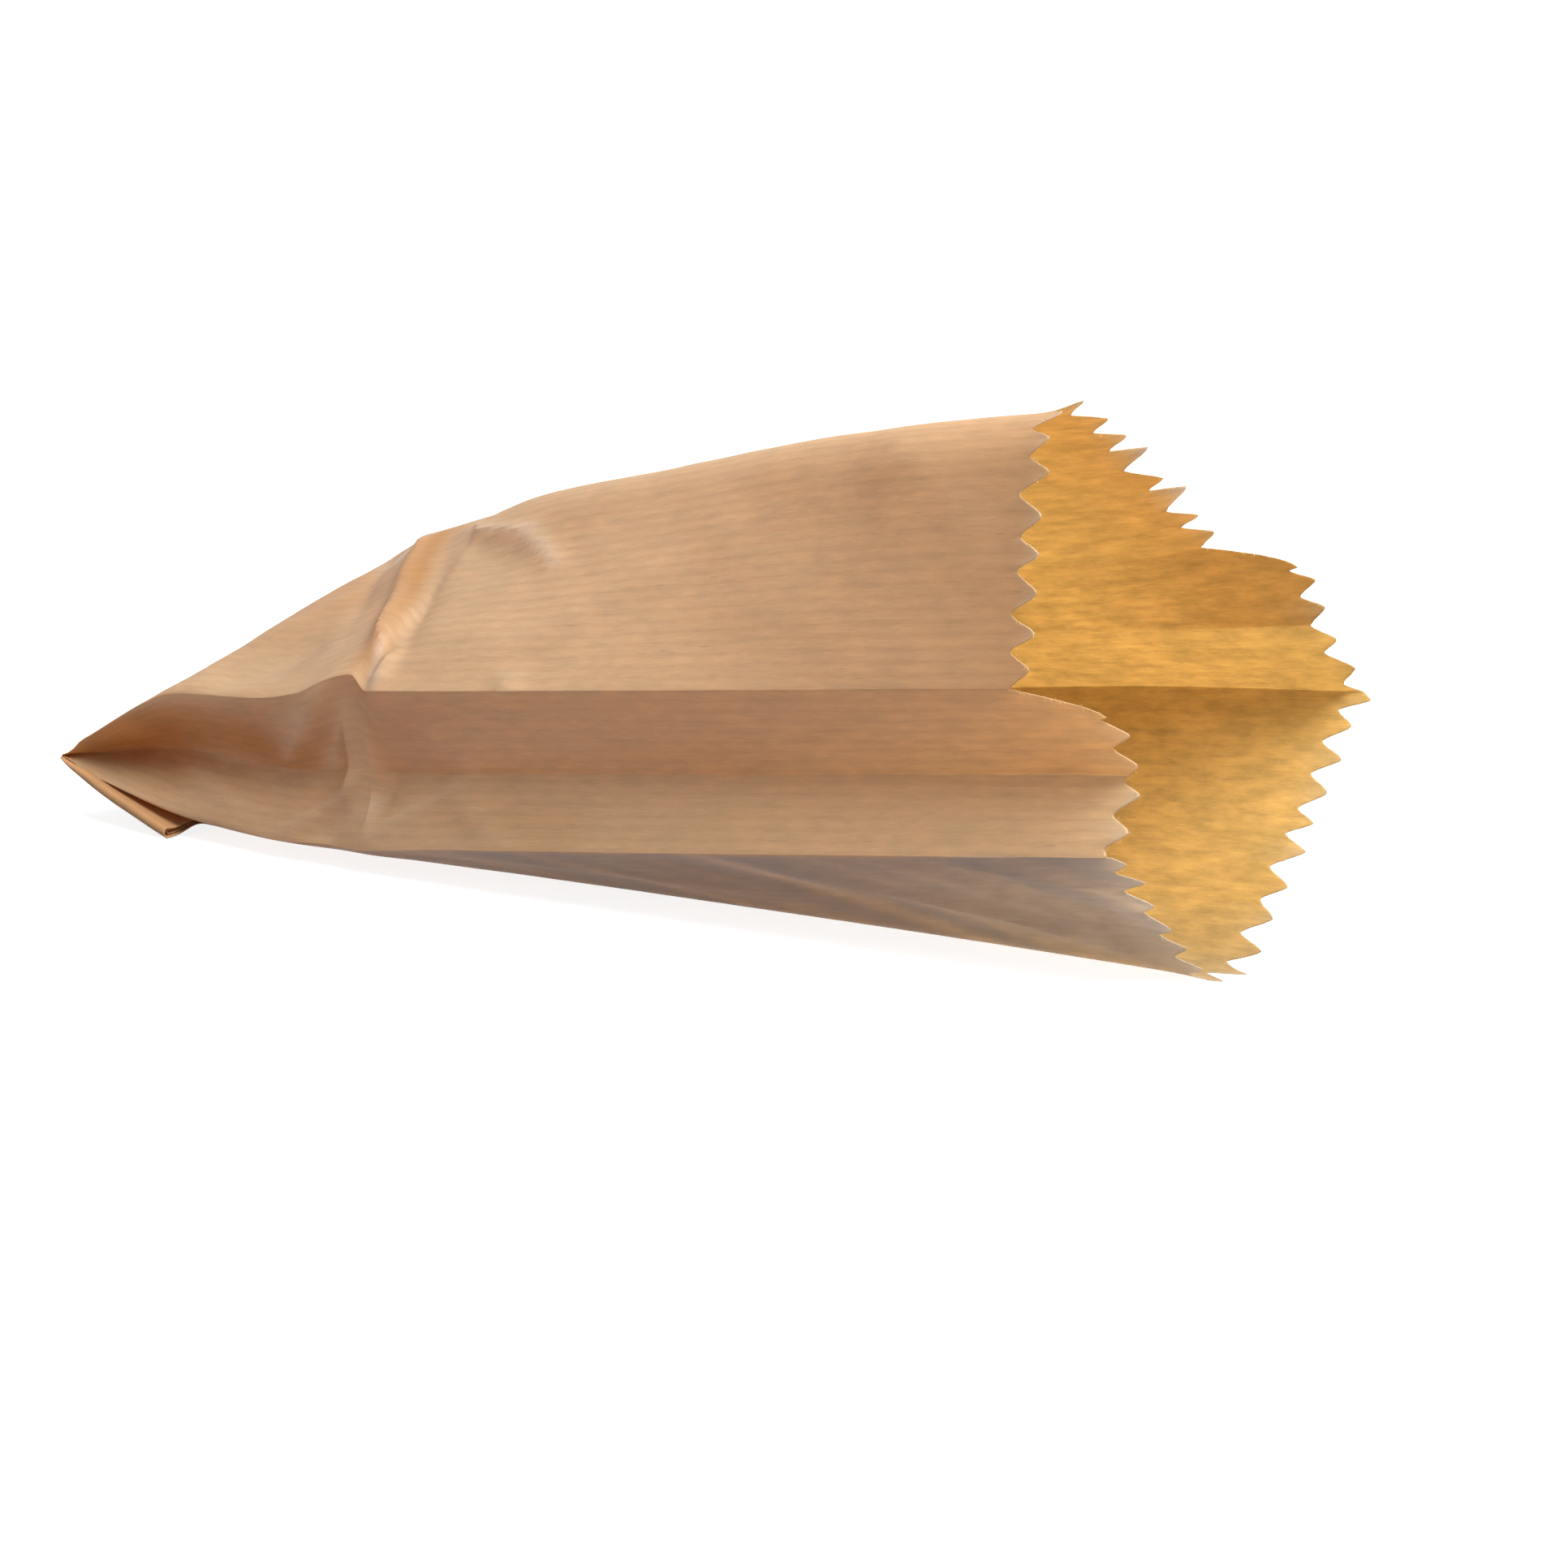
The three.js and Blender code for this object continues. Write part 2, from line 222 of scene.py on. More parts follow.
class BagForm:
    """The cross sections of the open bag, in millimetres, from the closed end to the mouth."""

    def __init__(self, sizes):
        self.length = sizes.length
        self.width = sizes.width
        self.upper = sizes.gusset_upper
        self.lower = sizes.gusset_lower
        self.near_low = table_curve(NEAR_LOW_FOLD)
        self.near_top = table_curve(NEAR_TOP_FOLD)
        self.ridge = table_curve(RIDGE)
        self.far_top = table_curve(FAR_TOP_FOLD)
        self.back = table_curve(BACK_PANEL)
        widths = [self.lower, self.upper, self.width, self.upper, self.lower, self.width]
        self.folds = np.concatenate([[0.0], np.cumsum(widths)])
        self.around = self.folds[-1]

    def crease(self, low, top, inward):
        across = top - low
        height = np.hypot(*across)
        half = (self.upper + self.lower) / 2
        loose = math.sqrt(max(half * half - height * height / 4, 0.0))
        depth = max(min(loose, 1.9 * height), 3.0)
        return low + across * self.lower / (self.upper + self.lower) + np.array([inward * depth, 0.0])

    def corners(self, x):
        share = x / self.length
        w = self.width
        low, top = self.near_low(share) * w, self.near_top(share) * w
        # The upper fold was pinched up before the deep crease, and drops steeply after it
        climb, fall = ramp(x, *PINCH_CLIMB), ramp(x, *PINCH_FALL)
        top = top + np.array(PINCH_RISE) * climb**2 * (3 - 2 * climb) * (1 - fall * fall * (3 - 2 * fall))
        ridge_share, flat_share, near_share = self.ridge(share)
        high = ridge_share * w
        flat = max(flat_share * w, 0.6)
        near_slope = (w - flat) * near_share
        far_slope = w - flat - near_slope
        far_height = self.far_top(share)[0] * w
        near_ridge = top + np.array([self.run(near_slope, high - top[1]), high - top[1]])
        far_ridge = near_ridge + np.array([flat, 0.0])
        far_top = far_ridge + np.array([self.run(far_slope, high - far_height), far_height - high])
        foot_height, near_run, far_run, far_low_height = self.back(share) * w
        near_foot = np.array([low[0] + near_run, foot_height])
        near_length = math.hypot(near_run, low[1] - foot_height)
        far_length = math.hypot(far_run, far_low_height - foot_height)
        foot = max(w - near_length - far_length, 7.0)
        far_foot = near_foot + np.array([foot, 0.0])
        far_low = np.array([far_foot[0] + far_run, far_low_height])
        near_crease = self.crease(low, top, 1)
        far_crease = self.crease(far_low, far_top, -1)
        near_side = [low, near_crease, top, near_ridge]
        return near_side + [far_ridge, far_top, far_crease, far_low, far_foot, near_foot]

    @staticmethod
    def run(length, rise):
        # How far a slope of this length reaches sideways; it never quite stands upright
        spare, least = length * length - rise * rise, 0.01 * length * length
        return math.sqrt((spare + least + math.hypot(spare - least, 2 * least)) / 2)

    @staticmethod
    def along(points, share, ease):
        """Points at shares of a bent strip's length, its corners eased over a window."""
        points = np.array(points)
        ends = np.concatenate([[0.0], np.cumsum(np.hypot(*np.diff(points, axis=0).T))])
        at = share * ends[-1]
        window = np.minimum(ease, np.minimum(at, ends[-1] - at))
        total = np.zeros((len(share), 2))
        steps = np.linspace(-1, 1, 17)
        for step in steps:
            place = at + window * step
            total[:, 0] += np.interp(place, ends, points[:, 0])
            total[:, 1] += np.interp(place, ends, points[:, 1])
        return total / len(steps)

    def section(self, x, places):
        """Sideways and height of the paper places at x."""
        c = self.corners(x)
        strips = [
            ([c[0], c[1]], 0.0),
            ([c[1], c[2]], 0.0),
            ([c[2], c[3], c[4], c[5]], 9.0),
            ([c[5], c[6]], 0.0),
            ([c[6], c[7]], 0.0),
            ([c[7], c[8], c[9], c[0]], 3.0),
        ]
        out = np.zeros((len(places), 2))
        for n, (strip, ease) in enumerate(strips):
            start, end = self.folds[n], self.folds[n + 1]
            pick = (places >= start - 1e-9) & (places < end - 1e-9)
            if n == 5:
                pick = places >= start - 1e-9
            out[pick] = self.along(strip, (places[pick] - start) / (end - start), ease)
        return self.settled(x, places, out)

    def settled(self, x, places, ring):
        """The ring with folds that open up, and two skins that meet, towards the closed end."""
        if x > SOFT_START + 2.0:
            return ring
        loose = ramp(SOFT_START - x, 0.0, SOFT_REACH)
        blurred = ring.copy()
        for _ in range(5):
            blurred = (np.roll(blurred, 1, 0) + blurred + np.roll(blurred, -1, 0)) / 3
        gap = np.min(np.abs(places[:, None] - self.folds[None, :]), axis=1)
        share = (loose * 0.85 * np.exp(-((gap / 6.0) ** 2)))[:, None]
        share[places > self.folds[5]] *= 0.3
        out = ring * (1 - share) + blurred * share
        if x < TIP_LENGTH:
            middle = TIP_HEIGHT * self.width
            near = 0.12 + 0.88 * (x / TIP_LENGTH)
            out[:, 1] = middle + (out[:, 1] - middle) * near
        return out


# Creases of the opened bag: two ends as x and paper place in mm, height outwards, width, both in mm
CREASES = [
    ((62, 74), (70, 56), 1.3, 1.4),
    ((70, 56), (79, 38), 1.8, 1.4),
    ((52, 73), (63, 50), -0.9, 2.6),
    ((68, 74), (79, 55), -0.7, 2.2),
    ((79, 55), (86, 36), -1.0, 2.6),
    ((83, 40), (84, 32), 1.6, 1.7),
    ((76, 70), (97, 66), 1.0, 1.2),
    ((97, 66), (111, 57), 1.1, 1.4),
    ((80, 66), (100, 58), -0.8, 2.8),
    ((113, 34), (117, 30), 1.0, 1.1),
    ((98, 34), (142, 55), 0.45, 3.0),
    ((104, 46), (128, 72), -0.35, 3.5),
    ((28, 36), (56, 62), 0.7, 2.4),
    ((40, 33), (62, 47), -0.8, 2.8),
    ((72, 31), (52, 14), 1.5, 2.6),
    ((80, 30), (64, 16), -1.3, 3.2),
    ((90, 30), (98, 15), 0.8, 2.4),
    ((57, 1), (77, 13), 1.0, 2.0),
    ((66, 1), (84, 12), -1.1, 2.6),
    ((78, 1), (100, 13), 0.9, 1.8),
    ((98, 10), (110, 1), 0.6, 1.6),
    ((112, 28), (130, 17), 0.3, 2.6),
    ((24, 12), (50, 4), 0.7, 2.0),
    ((140, 66), (176, 44), 0.3, 4.5),
    ((176, 70), (196, 44), -0.3, 4.0),
    ((188, 74), (214, 50), 0.35, 3.5),
    ((160, 250), (222, 226), 0.9, 1.3),
    ((196, 251), (232, 232), -0.8, 1.8),
    ((140, 250), (190, 232), -0.6, 2.2),
    ((204, 251), (230, 243), 0.8, 1.2),
    ((100, 249), (150, 238), 0.5, 2.0),
    ((214, 250), (226, 222), 0.6, 1.6),
    ((57, 80), (47, 108), 1.2, 1.7),
    ((60, 86), (78, 120), -0.9, 2.6),
    ((70, 126), (84, 140), 1.3, 1.8),
    ((80, 150), (96, 156), 1.0, 1.8),
    ((120, 104), (150, 116), 0.5, 3.0),
    ((14, 60), (30, 95), 0.5, 2.4),
    ((34, 70), (44, 100), -0.7, 2.6),
    ((20, 110), (46, 96), 0.6, 2.0),
]

# Painted glow where light would come through the stretched sheet: two ends, reach in mm, amount
PAINTED_GLOW = [
    ((66, 73), (79, 37), 3.4, 0.9),
    ((22, 20), (50, 22), 8.0, 0.6),
    ((50, 22), (90, 24), 9.0, 0.35),
    ((26, 8), (70, 6), 8.0, 0.3),
    ((4, 56), (56, 60), 16.0, 0.5),
    ((96, 8), (124, 4), 5.0, 0.25),
]
# Pale marks: glaze rubbed pale along the creases, and painted highlights by the ridge and above the upper
# fold
PALE = [
    ((66, 80), (58, 69), 2.1, 1.0),
    ((50, 71), (59, 68), 1.2, 0.3),
    ((80, 38), (83, 33), 1.5, 0.5),
    ((76, 70), (97, 66), 1.4, 0.25),
    ((97, 66), (111, 57), 1.6, 0.35),
    ((63, 26), (66, 16), 2.4, 0.1),
]


def near_marks(marks, x, s):
    """How strongly the listed marks show at x and paper place s."""
    total = 0.0
    for (x0, s0), (x1, s1), reach, amount in marks:
        dx, ds = x1 - x0, s1 - s0
        t = ramp((x - x0) * dx + (s - s0) * ds, 0.0, dx * dx + ds * ds)
        gap = math.hypot(x - x0 - t * dx, s - s0 - t * ds)
        total += amount * math.exp(-((gap / reach) ** 2))
    return min(total, 1.0)


def crease_height(x, s):
    """Height of the creases at x and paper place s, in millimetres outwards."""
    total = 0.0
    for (x0, s0), (x1, s1), height, width in CREASES:
        dx, ds = x1 - x0, s1 - s0
        t = ramp((x - x0) * dx + (s - s0) * ds, 0.0, dx * dx + ds * ds)
        gap = math.hypot(x - x0 - t * dx, s - s0 - t * ds)
        if gap > 5 * width:
            continue
        fade = min(1.0, 3.0 * min(t, 1 - t) + 0.45)
        total += height * fade * math.exp(1 - math.hypot(1, 1.3 * gap / width))
    return total


def wave_height(x, s, form, seed):
    """Soft waves of thin paper, less near the folds and more towards the closed end."""
    gap = min(abs(s - fold) for fold in form.folds)
    calm = min(1.0, 0.12 + gap / 7.0)
    tail = 0.42 + 0.6 * math.exp(-(((x - 70.0) / 45.0) ** 2))
    wide = noise.noise(Vector((x / 34.0, s / 17.0, seed * 1.7)))
    fine = noise.noise(Vector((x / 11.0, s / 7.0, seed * 2.9 + 5)))
    return calm * tail * (1.1 * wide + 0.35 * fine)


def cut_edge(form, sizes):
    """The saw cut as sorted paper places, the x of the cut there, and the curl of each tooth."""
    rng = random.Random(sizes.seed)
    depth = sizes.tooth_depth
    short = form.length - sizes.lip_offset + depth / 2
    lip_foot = short - depth
    long_foot = form.length - depth * 0.6
    folds = form.folds
    points = []

    def comb(start, end, edge, lively):
        teeth = max(2, round((end - start) / sizes.tooth_pitch))
        bounds = [start + (end - start) * i / teeth for i in range(teeth + 1)]
        for i in range(1, teeth):
            bounds[i] += rng.uniform(-0.6, 0.6)
        valley = [rng.uniform(0.82, 1.12) for _ in bounds]
        for i in range(teeth):
            lean = rng.uniform(0.42, 0.58)
            tip = rng.uniform(-0.8, 0.8)
            curl = rng.uniform(0.1, 1.0) ** 1.6 * lively
            steps = 12
            for k in range(steps):
                t = k / steps
                side = (lean - t) / lean if t < lean else (t - lean) / (1 - lean)
                low = valley[i] if t < lean else valley[i + 1]
                drop = depth * low * (0.5 * side + 0.25 - 0.25 * math.cos(math.pi * side))
                ragged = 0.16 * noise.noise(Vector(((start + i + t) * 9.0, edge, 3.0)))
                s = bounds[i] + (bounds[i + 1] - bounds[i]) * t
                points.append((s, edge + tip * (1 - side) - drop + ragged, curl * (1 - side)))
        points.append((end - 1e-4, edge - depth, 0.0))

    def climb(start, ease, stamp):
        for k in range(1, 14):
            t = k / 14
            rag = 0.3 * noise.noise(Vector((k * 0.9, stamp, 7.0)))
            edge = lip_foot + (long_foot - lip_foot) * ease(t * math.pi / 2) + rag
            points.append((start + LIP_BLEND * t, edge, 0.0))

    far_end = folds[3] + LIP_BLEND
    near_end = folds[2] - LIP_BLEND + form.around
    comb(folds[2], folds[3], short, 2.6)
    climb(folds[3], math.sin, 2.0)
    comb(far_end, near_end, form.length, 1.1)
    climb(near_end, math.cos, 9.0)
    points = [(s - form.around if s >= form.around - 1e-9 else s, x, curl) for s, x, curl in points]
    points.sort()
    places = np.array([p[0] for p in points])
    keep = np.concatenate([[True], np.diff(places) > 0.02])
    points = [p for p, k in zip(points, keep) if k]
    for fold in folds[:-1]:
        places = np.array([p[0] for p in points])
        i = int(np.argmin(np.abs(places - fold)))
        points[i] = (fold, points[i][1], points[i][2])
    points.sort()
    return [np.array(column) for column in zip(*points)]


def bag_sheet(form, sizes):
    """The bag's outer skin as a mesh open at the mouth, with paper coordinates in its UV map."""
    band = form.length - CUT_BAND
    coarse = []
    for n in range(6):
        start, end = form.folds[n], form.folds[n + 1]
        count = max(4, round((end - start) / 1.1))
        coarse.extend(start + (end - start) * i / count for i in range(count))
    coarse = np.array(coarse)
    # Closest together at the closed end and around the deep crease
    stations = np.concatenate(
        [
            [0.0, 0.6, 1.6],
            np.arange(3.2, 48.0, 1.5),
            np.arange(48.8, 96.0, 0.8),
            np.arange(97.0, band - 1, 2.0),
            [band],
        ]
    )
    fine, cut, curl = cut_edge(form, sizes)
    vertices, paper, curls = [], [], []

    def put(x, s, yz, bend=0.0):
        vertices.append((x, yz[0], yz[1]))
        paper.append((x, s))
        curls.append(bend)
        return len(vertices) - 1

    rows = []
    for x in stations:
        ring = form.section(x, coarse)
        rows.append([put(x, s, yz) for s, yz in zip(coarse, ring)])
    table_x = np.linspace(band, form.length + 2.0, 40)
    table = np.array([form.section(min(x, form.length), fine) for x in table_x])
    fine_rows = []
    for v in (0.15, 0.32, 0.48, 0.62, 0.74, 0.83, 0.9, 0.95, 0.98, 1.0):
        row = []
        for j, s in enumerate(fine):
            x = band + (cut[j] - band) * v
            at = (x - table_x[0]) / (table_x[1] - table_x[0])
            i = min(int(at), len(table_x) - 2)
            yz = table[i, j] * (1 - at + i) + table[i + 1, j] * (at - i)
            row.append(put(x, s, yz, curl[j] * v**8))
        fine_rows.append(row)

    faces, uvs = [], []

    def place(i, wrap):
        x, s = paper[i]
        return (s + (form.around if wrap else 0.0), x)

    def patch(corners):
        faces.append([c[0] for c in corners])
        uvs.append([place(*c) for c in corners])

    def quads(a, b):
        count = len(a)
        for j in range(count):
            k = (j + 1) % count
            w = k == 0
            patch([(a[j], False), (b[j], False), (b[k], w), (a[k], w)])

    for a, b in zip(rows, rows[1:]):
        quads(a, b)
    a, b = rows[-1], fine_rows[0]
    i = j = 0
    while i < len(a) or j < len(b):
        next_a = paper[a[i + 1]][1] if i + 1 < len(a) else form.around
        next_b = paper[b[j + 1]][1] if j + 1 < len(b) else form.around
        ia, jb = i % len(a), j % len(b)
        wa, wb = i >= len(a), j >= len(b)
        if j >= len(b) or (i < len(a) and next_a <= next_b):
            patch([(a[ia], wa), (b[jb], wb), (a[(i + 1) % len(a)], i + 1 >= len(a))])
            i += 1
        else:
            patch([(a[ia], wa), (b[jb], wb), (b[(j + 1) % len(b)], j + 1 >= len(b))])
            j += 1
    for a, b in zip(fine_rows, fine_rows[1:]):
        quads(a, b)
    patch([(i, False) for i in rows[0]])

    mesh = bpy.data.meshes.new("bag_sheet")
    mesh.from_pydata(vertices, [], faces)
    layer = mesh.uv_layers.new(name="paper")
    flat = [c for face in uvs for c in face]
    layer.data.foreach_set("uv", np.array(flat, np.float32).ravel() / 100.0)
    mesh.update()
    normals = np.zeros(len(mesh.vertices) * 3, np.float32)
    mesh.vertex_normals.foreach_get("vector", normals)
    normals = normals.reshape(-1, 3)
    moved = np.array(vertices)
    centre = np.array([form.length / 2, 0.0, form.width * 0.3])
    middle = len(vertices) // 2
    outward = 1.0 if np.dot(normals[middle], moved[middle] - centre) > 0 else -1.0
    amber, pale, painted_reflection = np.zeros((3, len(paper)), np.float32)
    for n, (x, s) in enumerate(paper):
        # Painted glow of light coming through the sheet, stronger towards the mouth
        mouth = ramp(x, *MOUTH_GLOW)
        glow = 0.4 * mouth * mouth if form.folds[1] < s < form.folds[4] else 0.0
        amber[n] = min(near_marks(PAINTED_GLOW, x, s) + glow, 1.0)
        # Paler where the glaze is rubbed on creases and curled tooth tips, plus painted highlights
        worn = abs(crease_height(x, s)) if form.folds[5] > s else 0.0
        pale[n] = min(near_marks(PALE, x, s) + 0.1 * worn + 0.5 * curls[n], 1.0)
        # Painted reflection of the pale table on the glaze under the near lower fold: paler streaks and a
        # cool grey tint
        under = ramp(s, *MIRROR_ACROSS) * ramp(x, *MIRROR_ALONG)
        streak = noise.noise(Vector(((x + 1.6 * s) / 9.0, s / 40.0, 2.0)))
        pale[n] += under * (0.12 + 0.7 * max(0.0, streak))
        painted_reflection[n] = under * (0.7 - 0.4 * streak)
        if x < 0.5:
            continue
        relief = crease_height(x, s) + wave_height(x, s, form, sizes.seed)
        height = sizes.wrinkle * min(1.0, x / 12.0) * relief
        if s > form.folds[5]:
            # What lies on the table stays flat on it
            height *= min(1.0, max(0.0, (moved[n][2] - 0.2) / 3.0))
        height += curls[n]
        moved[n] += normals[n] * outward * height
    moved[:, 2] = np.maximum(moved[:, 2], 0.0)
    mesh.vertices.foreach_set("co", moved.astype(np.float32).ravel())
    # Stored for the material: painted glow, rubbed glaze with painted highlights, and painted reflection
    for name, values in (("lit_through", amber), ("rubbed_and_highlight", pale), ("sheen", painted_reflection)):
        mesh.attributes.new(name, "FLOAT", "POINT").data.foreach_set("value", values)
    if outward < 0:
        mesh.flip_normals()
    mesh.update()
    rim = [fine_rows[-1][j] for j in range(len(fine))]
    return mesh, [Vector(moved[i]) for i in rim]


def row_frame(form):
    """The move from the bag's own millimetres to the row frame in metres."""
    return Matrix.Diagonal((MM, MM, MM, 1.0)) @ Matrix.Translation((-form.length / 2, SIDE_SHIFT, 0.0))


def add_node(tree, kind, settings=None, **links):
    """Add one node, with its settings and with values or links for its inputs."""
    node = tree.nodes.new(kind)
    for name, value in (settings or {}).items():
        setattr(node, name, value)
    for name, value in links.items():
        key = int(name[1:]) if name[0] == "i" and name[1:].isdigit() else name.replace("_", " ")
        socket = node.inputs[key]
        if isinstance(value, bpy.types.NodeSocket):
            tree.links.new(value, socket)
        else:
            socket.default_value = value
    return node


def math_node(tree, operation, *values):
    """The output of one Math node, with values or links for its inputs in order."""
    inputs = {f"i{n}": value for n, value in enumerate(values)}
    return add_node(tree, "ShaderNodeMath", {"operation": operation}, **inputs).outputs[0]


def remap(tree, value, low, high, new_low, new_high):
    """The output of a node that maps one range of a value to another."""
    inputs = {"From_Min": low, "From_Max": high, "To_Min": new_low, "To_Max": new_high}
    return add_node(tree, "ShaderNodeMapRange", None, Value=value, **inputs).outputs[0]


def rgba(colour):
    return (colour[0], colour[1], colour[2], 1.0)


def kraft_material(name, base, line, sizes, roughness, through, ribs, mottle, sheen):
    """Kraft paper whose ribs, fibres and cloudy formation follow the sheet's own coordinates."""
    material = bpy.data.materials.new(name)
    material.use_nodes = True
    tree = material.node_tree
    tree.nodes.clear()
    out = add_node(tree, "ShaderNodeOutputMaterial")
    uv = add_node(tree, "ShaderNodeUVMap", {"uv_map": "paper"})
    # One unit of the scaled coordinates is one millimetre of paper
    mm = add_node(tree, "ShaderNodeVectorMath", {"operation": "SCALE"}, i0=uv.outputs[0], Scale=100.0)
    parts = add_node(tree, "ShaderNodeSeparateXYZ", None, i0=mm.outputs[0])
    # Ribs run along the bag, one soft dark line each rib pitch, slightly uneven
    waver = add_node(
        tree, "ShaderNodeTexNoise", {"noise_dimensions": "3D"}, Vector=mm.outputs[0], Scale=0.035, Detail=2.0
    )
    shift = math_node(tree, "MULTIPLY", waver.outputs[0], 0.6)
    across = math_node(tree, "ADD", parts.outputs[0], shift)
    turns = math_node(tree, "MULTIPLY", across, 2 * math.pi / sizes.rib_pitch)
    wave = math_node(tree, "SINE", turns)
    half = math_node(tree, "MULTIPLY_ADD", wave, 0.5, 0.5)
    rib = math_node(tree, "POWER", half, 1.6)
    # Fibres lie along the sheet's making direction, about 0.12 mm wide and 2 mm long
    stretch = add_node(
        tree, "ShaderNodeMapping", {"vector_type": "POINT"}, Vector=mm.outputs[0], Scale=(1.0, 0.09, 1.0)
    )
    fibres = add_node(
        tree, "ShaderNodeTexNoise", None, Vector=stretch.outputs[0], Scale=2.6, Detail=5.0, Roughness=0.62
    )
    streaks = add_node(
        tree, "ShaderNodeMapping", {"vector_type": "POINT"}, Vector=mm.outputs[0], Scale=(1.0, 0.3, 1.0)
    )
    clouds = add_node(
        tree, "ShaderNodeTexNoise", None, Vector=streaks.outputs[0], Scale=0.4, Detail=6.0, Roughness=0.66
    )
    wide = add_node(tree, "ShaderNodeTexNoise", None, Vector=mm.outputs[0], Scale=0.028, Detail=2.0)
    patchy = remap(tree, wide.outputs[0], 0.35, 0.65, 0.4 * ribs, 1.4 * ribs)
    amount = math_node(tree, "MULTIPLY", rib, patchy)
    ribbed = add_node(
        tree, "ShaderNodeMix", {"data_type": "RGBA"}, i0=amount, i6=rgba(base), i7=rgba(line)
    )
    stained = ribbed
    # Tints over the ribbed colour: painted glow, painted reflection, and rubbed glaze with painted highlights
    for mark, tint, strength in (
        ("lit_through", "#d39a55", 0.75),
        ("sheen", "#aaa8ae", 0.75),
        ("rubbed_and_highlight", "#f2e6d8", 0.85),
    ):
        read = add_node(tree, "ShaderNodeAttribute", {"attribute_name": mark})
        share = math_node(tree, "MULTIPLY", read.outputs["Fac"], strength)
        stained = add_node(
            tree,
            "ShaderNodeMix",
            {"data_type": "RGBA"},
            i0=share,
            i6=stained.outputs[2],
            i7=rgba(linear(tint)),
        )
    cloud_range = remap(tree, clouds.outputs[0], 0.3, 0.7, 1.0 - mottle, 1.0 + mottle)
    fibre_range = remap(tree, fibres.outputs[0], 0.3, 0.7, 0.93, 1.07)
    wide_range = remap(tree, wide.outputs[0], 0.3, 0.7, 0.97, 1.03)
    both = math_node(tree, "MULTIPLY", cloud_range, fibre_range)
    tone = math_node(tree, "MULTIPLY", both, wide_range)
    # Sparse darker shives, about a millimetre long
    flecks = add_node(
        tree, "ShaderNodeTexVoronoi", {"feature": "F1"}, Vector=stretch.outputs[0], Scale=0.55, Randomness=1.0
    )
    fleck = remap(tree, flecks.outputs["Distance"], 0.03, 0.07, 0.8, 1.0)
    toned = math_node(tree, "MULTIPLY", tone, fleck)
    colour = add_node(
        tree, "ShaderNodeVectorMath", {"operation": "SCALE"}, i0=stained.outputs[2], Scale=toned
    )
    height = math_node(tree, "MULTIPLY_ADD", rib, -0.5, fibres.outputs[0])
    bump = add_node(tree, "ShaderNodeBump", None, Strength=0.35, Distance=0.08 * MM, Height=height)
    surface = add_node(
        tree,
        "ShaderNodeBsdfPrincipled",
        None,
        Base_Color=colour.outputs[0],
        Roughness=roughness,
        IOR=1.5,
        Normal=bump.outputs[0],
    )
    surface.inputs["Specular IOR Level"].default_value = sheen
    glow = add_node(tree, "ShaderNodeBsdfTranslucent", None, Color=colour.outputs[0], Normal=bump.outputs[0])
    mixed = add_node(tree, "ShaderNodeMixShader", None, i0=through, i1=surface.outputs[0], i2=glow.outputs[0])
    tree.links.new(mixed.outputs[0], out.inputs["Surface"])
    return material


def plain_copy(obj):
    """Swap an object's live modifiers for the mesh that they make."""
    bpy.context.view_layer.update()
    evaluated = obj.evaluated_get(bpy.context.evaluated_depsgraph_get())
    mesh = bpy.data.meshes.new_from_object(evaluated)
    obj.modifiers.clear()
    old = obj.data
    obj.data = mesh
    if old.users == 0:
        bpy.data.meshes.remove(old)
    return obj


def new_object(name, mesh):
    mesh.name = name
    obj = bpy.data.objects.new(name, mesh)
    bpy.context.scene.collection.objects.link(obj)
    return obj


class PAPERBAG_OT_sheet(bpy.types.Operator):
    """Make the bag: one ribbed kraft sheet with folds, wrinkles and the saw-cut mouth"""

    bl_idname = "paperbag.sheet"
    bl_label = "Bag sheet"

    def execute(self, context):
        sizes, colours = context.scene.bag_sizes, context.scene.bag_colours
        form = BagForm(sizes)
        mesh, rim = bag_sheet(form, sizes)
        mesh.transform(row_frame(form))
        obj = new_object("bag_sheet", mesh)
        # Machine-glazed kraft: smooth and faintly shiny outside, thin enough to glow when lit from behind
        outside = (colours.glazed, colours.rib, sizes, 0.4, 0.5, 0.22, 0.045, 0.6)
        mesh.materials.append(kraft_material("machine_glazed_kraft", *outside))
        # The unglazed face: rough, more open and more amber, as light comes through it
        inside = (colours.inside, colours.glazed, sizes, 0.85, 0.76, 0.1, 0.17, 0.12)
        mesh.materials.append(kraft_material("unglazed_kraft_inside", *inside))
        # The cut: pale broken fibres
        cut = (colours.cut, colours.glazed, sizes, 0.95, 0.3, 0.0, 0.08, 0.1)
        mesh.materials.append(kraft_material("cut_kraft_edge", *cut))
        mesh.shade_smooth()
        mesh.set_sharp_from_angle(angle=math.radians(28))
        wall = obj.modifiers.new("paper", "SOLIDIFY")
        wall.thickness = sizes.paper * MM
        wall.offset = -1.0
        wall.use_even_offset = False
        wall.material_offset = 1
        wall.material_offset_rim = 2
        plain_copy(obj)
        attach(obj, "root")
        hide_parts("paper_bag")
        return {"FINISHED"}


